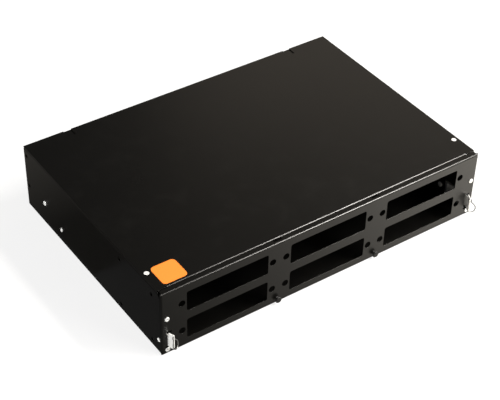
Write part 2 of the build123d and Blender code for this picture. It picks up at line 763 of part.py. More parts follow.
with BuildPart() as wing_nut:
    with BuildSketch(Plane.XY.offset(lid_z + splice_t)):
        with Locations((0, splice_y)):
            Circle(wing_r)
    extrude(amount=4.0)
    with BuildSketch(Plane.XZ.offset(-splice_y)):
        for side in (-1, 1):
            with Locations((side * 7.0, lid_z + splice_t + 5.5)):
                RectangleRounded(8.0, 7.0, 2.5)
    extrude(amount=0.8, both=True)
    with Locations((0, splice_y, lid_z + splice_t + 9.0)):
        Hole(stud_r, depth=12.0)
solids_to_step(wing_nut.part, "wing_nut")

# Cable anchors at the rear of the tray
anchor_z = tray_floor + anchor_h
for name, side in (("left", -1), ("right", 1)):
    at = side * anchor_x
    with BuildPart() as anchor_base:
        with Locations((at, anchor_y, tray_floor + anchor_h / 2)):
            Box(anchor_w, anchor_d, anchor_h)
        with BuildSketch(Plane.XZ.offset(-anchor_y)):
            with Locations(*[(at + (i - 1) * cable_gap, anchor_z) for i in range(3)]):
                Circle(cable_r)
        extrude(amount=anchor_d, both=True, mode=Mode.SUBTRACT)
        with GridLocations(anchor_w - 6.0, 0, 2, 1):
            with Locations((at, anchor_y, anchor_z)):
                Hole(screw_r - 0.5, depth=anchor_h)
    solids_to_step(anchor_base.part, f"anchor_base_{name}")
    with BuildPart() as anchor_cap:
        with Locations((at, anchor_y, anchor_z + 3.2)):
            Box(anchor_w, anchor_d, 5.6)
        with BuildSketch(Plane.XZ.offset(-anchor_y)):
            with Locations(*[(at + (i - 1) * cable_gap, anchor_z) for i in range(3)]):
                Circle(cable_r)
        extrude(amount=anchor_d, both=True, mode=Mode.SUBTRACT)
        with GridLocations(anchor_w - 6.0, 0, 2, 1):
            with Locations((at, anchor_y, anchor_z + 6.0)):
                Hole(screw_r - 0.5 + fit_gap, depth=8.0)
        fillet(anchor_cap.edges().group_by(Axis.Z)[-1].filter_by(GeomType.LINE), radius=0.8)
    solids_to_step(anchor_cap.part, f"anchor_cap_{name}")

with BuildPart() as anchor_screws:
    for side in (-1, 1):
        with GridLocations(anchor_w - 6.0, 0, 2, 1):
            with Locations((side * anchor_x, anchor_y, anchor_z + 6.0)):
                Cylinder(screw_r - 0.5, 12.0, align=(Align.CENTER, Align.CENTER, Align.MAX))
                Cylinder(2.6, 1.8, align=(Align.CENTER, Align.CENTER, Align.MIN))
solids_to_step(anchor_screws.part, "anchor_screws")
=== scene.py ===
"""Fibre enclosure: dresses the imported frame, lights it softly and sets the camera."""

import json
import logging
import math
from dataclasses import dataclass, field
from enum import Enum
from typing import Any, Callable, Optional, Sequence, Union

import bpy
from mathutils import Matrix, Quaternion, Vector


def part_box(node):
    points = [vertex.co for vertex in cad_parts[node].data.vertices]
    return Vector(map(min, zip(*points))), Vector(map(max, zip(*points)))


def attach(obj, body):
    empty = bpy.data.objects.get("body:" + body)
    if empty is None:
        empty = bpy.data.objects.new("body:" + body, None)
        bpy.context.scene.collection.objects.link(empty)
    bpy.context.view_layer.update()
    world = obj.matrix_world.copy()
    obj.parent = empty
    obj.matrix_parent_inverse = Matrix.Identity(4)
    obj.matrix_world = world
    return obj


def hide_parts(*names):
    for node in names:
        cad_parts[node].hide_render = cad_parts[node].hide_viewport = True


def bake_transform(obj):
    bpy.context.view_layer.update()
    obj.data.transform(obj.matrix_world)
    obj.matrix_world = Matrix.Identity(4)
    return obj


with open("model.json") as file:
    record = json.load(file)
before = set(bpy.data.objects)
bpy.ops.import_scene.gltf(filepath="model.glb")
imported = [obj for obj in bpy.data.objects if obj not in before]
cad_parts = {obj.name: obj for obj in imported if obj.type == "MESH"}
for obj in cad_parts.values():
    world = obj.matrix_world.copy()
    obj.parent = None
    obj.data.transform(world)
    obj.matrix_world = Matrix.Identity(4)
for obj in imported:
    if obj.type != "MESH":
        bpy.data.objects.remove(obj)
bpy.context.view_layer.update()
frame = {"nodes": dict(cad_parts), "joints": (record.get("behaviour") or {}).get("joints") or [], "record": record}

SLOTS = {row["node"]: row["material_slot"] for row in frame["record"]["subparts"]}
LOG = logging.getLogger("enclosure")
MM = 0.001
Colour = tuple[float, float, float]
Value = Union["Channel", float, int, Sequence[float], bpy.types.NodeSocket]


class Side(Enum):
    """The two sides of the enclosure, as seen from the front."""

    LEFT = -1
    RIGHT = 1

    @property
    def word(self) -> str:
        """The side's name as the frame's nodes and bodies spell it."""
        return self.name.lower()


class Grain(Enum):
    """How a metal surface was worked, which sets the way its marks run."""

    ROLLED = (1.0, 0.02, 1.0)
    TURNED = (1.0, 1.0, 1.0)
    DRAWN = (1.0, 1.0, 0.05)


class Channel:
    """A node socket that can be used in Python expressions."""

    def __init__(self, recipe: "Recipe", socket: bpy.types.NodeSocket) -> None:
        """Wrap a socket.

        Args:
            recipe: The material that the socket belongs to.
            socket: The output socket to wrap.
        """
        self.recipe = recipe
        self.socket = socket

    def maths(self, operation: str, *others: Value) -> "Channel":
        """Add a Math node that starts from this channel.

        Args:
            operation: The Math node's operation.
            *others: The node's further inputs.

        Returns:
            The node's result.
        """
        node = self.recipe.make(
            "ShaderNodeMath", {"operation": operation}, dict(enumerate((self, *others)))
        )
        return Channel(self.recipe, node.outputs[0])

    def __add__(self, other: Value) -> "Channel":
        """Sum of two channels."""
        return self.maths("ADD", other)

    __radd__ = __add__

    def __mul__(self, other: Value) -> "Channel":
        """Product of two channels."""
        return self.maths("MULTIPLY", other)

    __rmul__ = __mul__

    def __sub__(self, other: Value) -> "Channel":
        """This channel less another."""
        return self.maths("SUBTRACT", other)

    def __rsub__(self, other: Value) -> "Channel":
        """Another value less this channel."""
        return self.maths("MULTIPLY_ADD", -1.0, other)

    def __pow__(self, other: Value) -> "Channel":
        """This channel raised to a power."""
        return self.maths("POWER", other)

    def held(self, low: float, high: float) -> "Channel":
        """Spread this channel from low..high to 0..1 and clamp it.

        Args:
            low: The value that becomes 0.
            high: The value that becomes 1.

        Returns:
            The clamped channel.
        """
        node = self.recipe.make(
            "ShaderNodeMapRange", {"clamp": True}, {0: self, 1: low, 2: high, 3: 0.0, 4: 1.0}
        )
        return Channel(self.recipe, node.outputs[0])


class Recipe:
    """One material and the nodes it is made of."""

    def __init__(self, name: str) -> None:
        """Start an empty material.

        Args:
            name: The material's name.
        """
        self.material = bpy.data.materials.new(name)
        self.material.use_nodes = True
        self.tree = self.material.node_tree
        self.tree.nodes.clear()

    def make(
        self,
        kind: str,
        settings: Optional[dict[str, Any]] = None,
        sockets: Optional[dict[Any, Value]] = None,
    ) -> bpy.types.Node:
        """Add any node.

        Args:
            kind: The node's type.
            settings: Its properties, and a ramp's stops under "stops".
            sockets: Values or links for its inputs, by name or number.

        Returns:
            The new node.
        """
        node = self.tree.nodes.new(kind)
        for key, value in (settings or {}).items():
            if key == "stops":
                self._set_stops(node.color_ramp, value)
            else:
                setattr(node, key, value)
        for key, value in (sockets or {}).items():
            self._feed(node.inputs[key], value)
        return node

    def _feed(self, target: bpy.types.NodeSocket, value: Value) -> None:
        """Set an input to a number or colour, or link it."""
        if isinstance(value, Channel):
            value = value.socket
        if isinstance(value, bpy.types.NodeSocket):
            self.tree.links.new(value, target)
        elif isinstance(value, (tuple, list)) and len(value) == 3 and target.type == "RGBA":
            target.default_value = (*value, 1.0)
        else:
            target.default_value = value

    @staticmethod
    def _set_stops(ramp: bpy.types.ColorRamp, stops: Sequence[tuple[float, Colour]]) -> None:
        """Give a colour ramp its stops."""
        while len(ramp.elements) < len(stops):
            ramp.elements.new(1.0)
        for element, (place, colour) in zip(ramp.elements, stops):
            element.position = place
            element.color = (*colour, 1.0)

    def place(
        self, scale: Sequence[float] = (1.0, 1.0, 1.0), turn: Sequence[float] = (0.0, 0.0, 0.0)
    ) -> Channel:
        """Object coordinates, stretched or turned.

        Args:
            scale: How much each axis is stretched.
            turn: Rotation in radians.

        Returns:
            The mapped coordinates.
        """
        at = self.make("ShaderNodeTexCoord")
        sockets: dict[Any, Value] = {"Vector": at.outputs["Object"], "Scale": scale, "Rotation": turn}
        mapped = self.make("ShaderNodeMapping", None, sockets)
        return Channel(self, mapped.outputs[0])

    def axis(self, name: str) -> Channel:
        """One of the object coordinates, in metres.

        Args:
            name: X, Y or Z.

        Returns:
            That coordinate.
        """
        at = self.make("ShaderNodeTexCoord")
        parts = self.make("ShaderNodeSeparateXYZ", None, {0: at.outputs["Object"]})
        return Channel(self, parts.outputs[name])

    def clouds(
        self, scale: float, detail: float = 3.0, rough: float = 0.5, at: Optional[Channel] = None
    ) -> Channel:
        """Noise between about 0.25 and 0.75.

        Args:
            scale: Features per metre.
            detail: Octaves.
            rough: How strong the finer octaves are.
            at: Coordinates, or None for plain object ones.

        Returns:
            The noise.
        """
        node = self.make(
            "ShaderNodeTexNoise",
            None,
            {"Vector": at or self.place(), "Scale": scale, "Detail": detail, "Roughness": rough},
        )
        return Channel(self, node.outputs["Fac"])

    def cells(self, scale: float, at: Optional[Channel] = None) -> Channel:
        """Distance to the nearest of scattered points.

        Args:
            scale: Points per metre.
            at: Coordinates, or None for plain object ones.

        Returns:
            The distance, in cells.
        """
        node = self.make("ShaderNodeTexVoronoi", None, {"Vector": at or self.place(), "Scale": scale})
        return Channel(self, node.outputs["Distance"])

    def blend(self, amount: Value, first: Value, second: Value) -> Channel:
        """Mix two colours.

        Args:
            amount: 0 gives the first and 1 the second.
            first: A colour.
            second: Another colour.

        Returns:
            The mixed colour.
        """
        node = self.make("ShaderNodeMix", {"data_type": "RGBA"}, {0: amount, 6: first, 7: second})
        return Channel(self, node.outputs[2])

    def bump(self, height: Channel, depth: float, soften: float = 0.0) -> Channel:
        """Turn a height into a normal, on edges that may be softened.

        Args:
            height: The height, from 0 to 1.
            depth: What a height of 1 means, in metres.
            soften: How far sharp edges look rounded, in metres.

        Returns:
            The bumped normal.
        """
        sockets: dict[Any, Value] = {"Height": height, "Distance": depth}
        if soften:
            rounded = self.make("ShaderNodeBevel", {"samples": 6}, {"Radius": soften})
            sockets["Normal"] = rounded.outputs[0]
        node = self.make("ShaderNodeBump", None, sockets)
        return Channel(self, node.outputs[0])

    def finish(self, sockets: dict[str, Value]) -> bpy.types.Material:
        """Close the recipe with a surface shader.

        Args:
            sockets: The shader's inputs.

        Returns:
            The finished material.
        """
        shader = self.make("ShaderNodeBsdfPrincipled", None, sockets)
        output = self.make("ShaderNodeOutputMaterial")
        self.tree.links.new(shader.outputs[0], output.inputs[0])
        return self.material


@dataclass(frozen=True)
class PowderCoat:
    """Satin black powder coat with a fine orange-peel skin and faint handling marks."""

    colour: Colour = (0.0018, 0.0017, 0.0015)
    haze: Colour = (0.0038, 0.0036, 0.0032)
    gloss: float = 0.285
    peel: float = 0.00003
    soften: float = 0.0003

    def mix(self, name: str) -> bpy.types.Material:
        """Mix the coat.

        Args:
            name: The material's name.

        Returns:
            The material.
        """
        r = Recipe(name)
        drift = r.clouds(5.0, 2.0)
        rub = r.clouds(38.0, 5.0, 0.65).held(0.52, 0.72)
        specks = 1 - r.cells(620.0).held(0.05, 0.16)
        skin = r.clouds(1500.0, 2.0, 0.6) * 0.7 + r.clouds(420.0, 1.0) * 0.3
        tone = r.blend(drift * 0.6 + rub * 0.25 + specks * 0.3, self.colour, self.haze)
        return r.finish(
            {
                "Base Color": tone,
                "Roughness": drift * 0.06 + rub * 0.05 + (self.gloss - 0.03),
                "Specular IOR Level": 0.42,
                "Normal": r.bump(skin, self.peel, soften=self.soften),
            }
        )


@dataclass(frozen=True)
class Plate:
    """Plated metal: zinc, nickel or rolled steel, with marks that run with the work."""

    bright: Colour = (0.9, 0.9, 0.88)
    dull: Colour = (0.72, 0.72, 0.7)
    gloss: float = 0.3
    grain: Grain = Grain.TURNED
    depth: float = 0.00001
    metal: float = 0.45

    def mix(self, name: str) -> bpy.types.Material:
        """Mix the plating.

        Args:
            name: The material's name.

        Returns:
            The material.
        """
        r = Recipe(name)
        bloom = r.clouds(260.0, 4.0, 0.6)
        marks = r.clouds(2200.0, 3.0, 0.6, r.place(self.grain.value))
        spots = r.clouds(90.0, 3.0).held(0.5, 0.75)
        return r.finish(
            {
                "Base Color": r.blend(bloom * 0.7 + spots * 0.4, self.bright, self.dull),
                "Metallic": self.metal,
                "Roughness": marks * 0.16 + bloom * 0.12 + (self.gloss - 0.1),
                "Normal": r.bump(marks, self.depth),
            }
        )


@dataclass(frozen=True)
class Moulded:
    """Moulded plastic or rubber with a spark-eroded grain."""

    colour: Colour = (0.02, 0.02, 0.021)
    worn: Colour = (0.04, 0.04, 0.042)
    gloss: float = 0.5
    grain_scale: float = 1800.0
    depth: float = 0.00004
    sheen: float = 0.0

    def mix(self, name: str) -> bpy.types.Material:
        """Mix the plastic.

        Args:
            name: The material's name.

        Returns:
            The material.
        """
        r = Recipe(name)
        flow = r.clouds(24.0, 3.0)
        pits = r.cells(self.grain_scale)
        scuff = r.clouds(140.0, 4.0, 0.7).held(0.56, 0.74)
        return r.finish(
            {
                "Base Color": r.blend(flow * 0.4 + scuff * 0.4, self.colour, self.worn),
                "Roughness": flow * 0.08 + pits * 0.1 + (self.gloss - 0.08),
                "Sheen Weight": self.sheen,
                "Normal": r.bump(pits, self.depth),
            }
        )


@dataclass(frozen=True)
class Film:
    """Bare printed film with a laminate over it and a darker edge all round."""

    colour: Colour = (0.66, 0.2, 0.03)
    edge: Colour = (0.45, 0.11, 0.012)
    centre: tuple[float, float] = (-0.1924, -0.1251)
    half: float = 0.01525

    def mix(self, name: str) -> bpy.types.Material:
        """Mix the film.

        Args:
            name: The material's name.

        Returns:
            The material.
        """
        r = Recipe(name)
        across = (r.axis("X") - self.centre[0]).maths("ABSOLUTE")
        along = (r.axis("Y") - self.centre[1]).maths("ABSOLUTE")
        rim = across.maths("MAXIMUM", along).held(self.half - 0.0009, self.half)
        ink = r.clouds(1400.0, 2.0)
        fade = r.clouds(60.0, 2.0)
        return r.finish(
            {
                "Base Color": r.blend(rim * 0.8 + ink * 0.12 + fade * 0.1, self.colour, self.edge),
                "Roughness": ink * 0.08 + 0.3,
                "Coat Weight": 0.4,
                "Coat Roughness": 0.12,
                "Normal": r.bump(fade, 0.00006),
            }
        )


@dataclass(frozen=True)
class Clear:
    """Clear moulded plastic with a few hairline scratches."""

    tint: Colour = (0.86, 0.9, 0.92)
    gloss: float = 0.08

    def mix(self, name: str) -> bpy.types.Material:
        """Mix the plastic.

        Args:
            name: The material's name.

        Returns:
            The material.
        """
        r = Recipe(name)
        hairs = r.clouds(300.0, 4.0, 0.7, r.place((1.0, 12.0, 1.0), (0.0, 0.0, 0.5))).held(0.6, 0.72)
        haze = r.clouds(20.0, 2.0)
        return r.finish(
            {
                "Base Color": r.blend(haze, self.tint, (0.78, 0.83, 0.86)),
                "Roughness": hairs * 0.3 + haze * 0.05 + self.gloss,
                "Alpha": hairs * 0.12 + 0.26,
                "IOR": 1.49,
            }
        )


@dataclass(frozen=True)
class Backdrop:
    """White studio sweep that barely takes a shadow."""

    colour: Colour = (0.2, 0.2, 0.2)
    glow: float = 0.745

    def mix(self, name: str) -> bpy.types.Material:
        """Mix the sweep's paint.

        Args:
            name: The material's name.

        Returns:
            The material.
        """
        r = Recipe(name)
        return r.finish(
            {
                "Base Color": self.colour,
                "Roughness": 0.9,
                "Specular IOR Level": 0.0,
                "Emission Color": (1.0, 1.0, 1.0),
                "Emission Strength": self.glow,
            }
        )


@dataclass(frozen=True)
class Card:
    """Card on the floor with a painted glow, bright at one end and fading to the other, which stands in for light
    bounced off a reflector card.
    """

    along: str = "X"
    start: float = -0.45
    end: float = 0.35
    glow: float = 2.3
    power: float = 2.3

    def mix(self, name: str) -> bpy.types.Material:
        """Mix the card's painted glow.

        Args:
            name: The material's name.

        Returns:
            The material.
        """
        r = Recipe(name)
        # Painted glow: emission that fades along one axis and stands in for bounced light.
        fade = r.axis(self.along).held(self.start, self.end) ** self.power
        warm = r.blend(fade, (0.03, 0.029, 0.027), (1.0, 0.94, 0.84))
        return r.finish(
            {
                "Base Color": (0.0, 0.0, 0.0),
                "Specular IOR Level": 0.0,
                "Emission Color": warm,
                "Emission Strength": self.glow,
            }
        )


class Bench:
    """The hand tools: primitives, edit-mode operators and applied modifiers."""

    @staticmethod
    def clear() -> None:
        """Leave edit mode and deselect everything."""
        if bpy.context.object and bpy.context.object.mode != "OBJECT":
            bpy.ops.object.mode_set(mode="OBJECT")
        bpy.ops.object.select_all(action="DESELECT")

    @classmethod
    def rod(
        cls,
        name: str,
        centre: Sequence[float],
        along: Sequence[float],
        radius: float,
        length: float,
        sides: int = 40,
    ) -> bpy.types.Object:
        """Start from a cylinder.

        Args:
            name: The piece's name.
            centre: Its middle, in metres.
            along: The direction of its axis.
            radius: Its radius.
            length: Its length.
            sides: How many sides it has.

        Returns:
            The new piece, at the origin.
        """
        cls.clear()
        turn = Vector((0, 0, 1)).rotation_difference(Vector(along)).to_euler()
        bpy.ops.mesh.primitive_cylinder_add(
            vertices=sides, radius=radius, depth=length, location=centre, rotation=turn
        )
        return cls._named(name)

    @classmethod
    def block(cls, name: str, low: Sequence[float], high: Sequence[float]) -> bpy.types.Object:
        """Start from a box between two corners.

        Args:
            name: The piece's name.
            low: The lowest corner, in metres.
            high: The highest corner.

        Returns:
            The new piece, at the origin.
        """
        cls.clear()
        middle = [(a + b) / 2 for a, b in zip(low, high)]
        size = [abs(b - a) for a, b in zip(low, high)]
        bpy.ops.mesh.primitive_cube_add(size=1.0, location=middle, scale=size)
        return cls._named(name)

    @classmethod
    def _named(cls, name: str) -> bpy.types.Object:
        """Name the new primitive and put its place in its mesh.

        Args:
            name: The piece's name.

        Returns:
            The named piece.
        """
        piece = bpy.context.object
        piece.name = name
        bpy.ops.object.transform_apply(location=True, rotation=True, scale=True)
        return piece

    @classmethod
    def pick(cls, piece: bpy.types.Object, test: Callable[[Vector, Vector], bool]) -> int:
        """Enter edit mode with the faces selected that pass a test.

        Args:
            piece: The piece to work on.
            test: Takes a face's centre and normal.

        Returns:
            How many faces are selected.
        """
        cls.clear()
        piece.select_set(True)
        bpy.context.view_layer.objects.active = piece
        bpy.ops.object.mode_set(mode="EDIT")
        bpy.ops.mesh.select_mode(type="FACE")
        bpy.ops.mesh.select_all(action="DESELECT")
        bpy.ops.object.mode_set(mode="OBJECT")
        count = 0
        for face in piece.data.polygons:
            face.select = bool(test(face.center, face.normal))
            count += face.select
        bpy.ops.object.mode_set(mode="EDIT")
        return count

    @classmethod
    def pick_edges(cls, piece: bpy.types.Object, test: Callable[[Vector, Vector], bool]) -> int:
        """Enter edit mode with the edges selected that pass a test.

        Args:
            piece: The piece to work on.
            test: Takes an edge's two ends.

        Returns:
            How many edges are selected.
        """
        cls.clear()
        piece.select_set(True)
        bpy.context.view_layer.objects.active = piece
        bpy.ops.object.mode_set(mode="EDIT")
        bpy.ops.mesh.select_mode(type="EDGE")
        bpy.ops.mesh.select_all(action="DESELECT")
        bpy.ops.object.mode_set(mode="OBJECT")
        count = 0
        points = piece.data.vertices
        for edge in piece.data.edges:
            first, second = edge.vertices
            edge.select = bool(test(points[first].co, points[second].co))
            count += edge.select
        bpy.ops.object.mode_set(mode="EDIT")
        return count

    @staticmethod
    def pull(move: Sequence[float]) -> None:
        """Extrude what is selected.

        Args:
            move: How far, in metres.
        """
        bpy.ops.mesh.extrude_region_move(TRANSFORM_OT_translate={"value": tuple(move)})

    @staticmethod
    def spread(factor: Sequence[float], middle: Sequence[float]) -> None:
        """Scale what is selected about a point.

        Args:
            factor: The scale on each axis.
            middle: The point that stays.
        """
        bpy.ops.transform.resize(value=tuple(factor), center_override=tuple(middle))

    @classmethod
    def cut(cls, piece: bpy.types.Object, cutter: bpy.types.Object) -> None:
        """Take one shape out of another.

        Args:
            piece: The piece that stays.
            cutter: The shape to take out, which is used up.
        """
        cls.clear()
        bpy.context.view_layer.objects.active = piece
        piece.select_set(True)
        tool = piece.modifiers.new("cut", "BOOLEAN")
        tool.operation = "DIFFERENCE"
        tool.solver = "EXACT"
        tool.object = cutter
        bpy.ops.object.modifier_apply(modifier=tool.name)
        bpy.data.objects.remove(cutter, do_unlink=True)

    @classmethod
    def ease(cls, piece: bpy.types.Object, width: float, steps: int = 2, angle: float = 40.0) -> None:
        """Round a piece's sharp edges and smooth it.

        Args:
            piece: The piece to finish.
            width: The width of the rounding, in metres.
            steps: How many faces make the rounding.
            angle: Edges sharper than this are rounded, in degrees.
        """
        cls.clear()
        bpy.context.view_layer.objects.active = piece
        piece.select_set(True)
        tool = piece.modifiers.new("ease", "BEVEL")
        tool.width = width
        tool.segments = steps
        tool.limit_method = "ANGLE"
        tool.angle_limit = math.radians(angle)
        bpy.ops.object.modifier_apply(modifier=tool.name)
        bpy.ops.object.shade_smooth_by_angle(angle=math.radians(35.0))

    @classmethod
    def close(cls, piece: bpy.types.Object) -> None:
        """Merge a piece's doubles and turn its faces outwards.

        Args:
            piece: The piece to mend.
        """
        cls.pick(piece, lambda centre, normal: True)
        bpy.ops.mesh.remove_doubles(threshold=1e-6)
        bpy.ops.mesh.normals_make_consistent(inside=False)
        bpy.ops.object.mode_set(mode="OBJECT")

    @classmethod
    def copy(cls, piece: bpy.types.Object, name: str, by: Matrix) -> bpy.types.Object:
        """Copy a finished piece with a mesh of its own.

        Args:
            piece: The piece to copy.
            name: The copy's name.
            by: Where the copy goes, from the piece's own place.

        Returns:
            The copy.
        """
        twin = piece.copy()
        twin.data = piece.data.copy()
        twin.name = name
        bpy.context.scene.collection.objects.link(twin)
        twin.data.transform(by)
        if by.determinant() < 0:
            twin.data.flip_normals()
        return twin


class Stock:
    """Every material of the enclosure, made once and handed out by name."""

    FINISHES: dict[str, Any] = {
        "black_powder_coat": PowderCoat(),
        "zinc_plate": Plate(),
        "slide_steel": Plate((0.72, 0.72, 0.71), (0.5, 0.5, 0.5), 0.34, Grain.ROLLED, metal=0.9),
        "hard_steel": Plate((0.85, 0.85, 0.86), (0.7, 0.7, 0.72), 0.16, Grain.TURNED, metal=1.0),
        "spring_wire": Plate((0.3, 0.3, 0.295), (0.22, 0.22, 0.215), 0.36, Grain.DRAWN, metal=0.85),
        "black_knob": Moulded((0.004, 0.004, 0.004), (0.008, 0.008, 0.008), 0.5, depth=0.00001),
        "black_plastic": Moulded(),
        "grommet_rubber": Moulded(
            (0.014, 0.014, 0.014), (0.03, 0.03, 0.029), 0.68, 900.0, 0.00003, 0.1
        ),
        "orange_sticker": Film(),
        "clear_lid": Clear(),
        "studio_floor": Backdrop(),
        # Painted glow on two hidden floor cards, standing in for bounced light.
        "bounce_card": Card(),
        "side_card": Card("Y", 0.1, 0.6, 0.45, 1.0),
    }

    def __init__(self) -> None:
        """Start with nothing mixed."""
        self._mixed: dict[str, bpy.types.Material] = {}

    def get(self, name: str) -> bpy.types.Material:
        """The named material, mixed when it is first wanted.

        Args:
            name: One of the finishes.

        Returns:
            The material.
        """
        if name not in self._mixed:
            self._mixed[name] = self.FINISHES[name].mix(name)
        return self._mixed[name]

    def paint(self, piece: bpy.types.Object, name: str) -> None:
        """Give a piece one material all over.

        Args:
            piece: The piece.
            name: One of the finishes.
        """
        piece.data.materials.clear()
        piece.data.materials.append(self.get(name))


@dataclass
class Assembly:
    """What the sub-assemblies share: their stock, and how a piece joins the frame."""

    stock: Stock

    def dress(self, *nodes: str) -> None:
        """Paint nodes that are carried over from the frame.

        Args:
            *nodes: The nodes' names.
        """
        for node in nodes:
            self.stock.paint(frame["nodes"][node], SLOTS[node])
            LOG.info("dressed %s", node)

    def mount(self, piece: bpy.types.Object, body: str, *nodes: str) -> None:
        """Set a new piece on its body in place of the nodes it stands for.

        Args:
            piece: The new piece.
            body: The body that carries it.
            *nodes: The nodes it replaces, the first of which gives its finish.
        """
        self.stand_in(piece, *nodes)
        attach(piece, body)
        LOG.info("built %s on %s", piece.name, body)

    def stand_in(self, piece: bpy.types.Object, *nodes: str) -> None:
        """Finish a new piece and set it in place of the nodes it stands for.

        Args:
            piece: The new piece.
            *nodes: The nodes it replaces, the first of which gives its finish.
        """
        finish = SLOTS[nodes[0]]
        self.stock.paint(piece, finish)
        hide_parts(*nodes)


@dataclass
class CrossScrew:
    """A screw with a rounded or flat head and a cross recess, sizes in millimetres."""

    head_r: float = 3.3
    head_h: float = 1.9
    shank_r: float = 2.0
    shank_l: float = 2.6
    recess: float = 1.3
    blade: float = 0.3
    deep: float = 0.9
    sunk: bool = False

    def build(self, name: str, seat: Sequence[float], out: Sequence[float]) -> bpy.types.Object:
        """Model one screw.

        Args:
            name: The screw's name.
            seat: The centre of the face that the head bears on, in metres.
            out: The direction in which the head stands, along one axis.

        Returns:
            The screw.
        """
        out_v = Vector(out)
        seat_v = Vector(seat)
        top = seat_v + out_v * self.head_h * MM
        head = Bench.rod(name, (seat_v + top) / 2, out, self.head_r * MM, self.head_h * MM, 48)
        Bench.pick(head, lambda centre, normal: normal.dot(out_v) < -0.9)
        if self.sunk:
            ratio = self.shank_r / self.head_r
            Bench.spread([1.0 if abs(part) > 0.5 else ratio for part in out], seat_v)
        else:
            bpy.ops.mesh.inset(thickness=(self.head_r - self.shank_r) * MM)
        Bench.pull(-out_v * self.shank_l * MM)
        if not self.sunk:
            Bench.pick(head, lambda centre, normal: normal.dot(out_v) > 0.9)
            bpy.ops.mesh.bevel(offset=self.head_h * 0.62 * MM, segments=6, profile=0.5, affect="EDGES")
        bpy.ops.object.mode_set(mode="OBJECT")
        across = out_v.orthogonal().normalized()
        for angle in (20.0, 110.0):
            side = Quaternion(out_v, math.radians(angle)) @ across
            Bench.cut(head, self._blade(top, out_v, side))
        Bench.ease(head, 0.07 * MM, 2, 50.0)
        return head

    def _blade(self, top: Vector, out: Vector, side: Vector) -> bpy.types.Object:
        """Shape one bar of the cross, tapered towards its foot.

        Args:
            top: The middle of the head's face.
            out: The way the head faces.
            side: The way the bar runs.

        Returns:
            The bar, as a cutter.
        """
        size = Vector((self.recess, self.blade, self.deep)) * MM
        bar = Bench.block("blade", -size, (size.x, size.y, 0.6 * MM))
        Bench.pick(bar, lambda centre, normal: normal.z < -0.9)
        Bench.spread((0.45, 0.8, 1.0), (0.0, 0.0, 0.0))
        bpy.ops.object.mode_set(mode="OBJECT")
        bar.data.transform(Matrix((side, out.cross(side), out)).transposed().to_4x4())
        bar.data.transform(Matrix.Translation(top))
        return bar


@dataclass
class WireBender:
    """Carries the selected end of a wire along runs and bends in one plane, in millimetres."""

    root: Vector
    plane: Matrix
    x: float = 0.0
    y: float = 0.0
    heading: float = 0.0

    def run(self, length: float) -> None:
        """Draw the wire out straight.

        Args:
            length: How far.
        """
        turn = math.radians(self.heading)
        step = Vector((math.cos(turn), math.sin(turn), 0.0)) * length
        Bench.pull(self.plane @ step * MM)
        self.x += step.x
        self.y += step.y

    def bend(self, radius: float, turn: float, steps: int = 8) -> None:
        """Bend the wire.

        Args:
            radius: The bend's radius, to the middle of the wire.
            turn: By how much, in degrees, positive from across towards down.
            steps: How many sections the bend gets.
        """
        side = math.copysign(radius, turn)
        angle = math.radians(self.heading)
        cx, cy = self.x - side * math.sin(angle), self.y + side * math.cos(angle)
        centre = self.root + self.plane @ Vector((cx, cy, 0.0)) * MM
        bpy.ops.mesh.spin(steps=steps, angle=-math.radians(turn), center=centre, axis=self.plane.col[2])
        self.heading += turn
        angle = math.radians(self.heading)
        self.x, self.y = cx + side * math.sin(angle), cy - side * math.cos(angle)


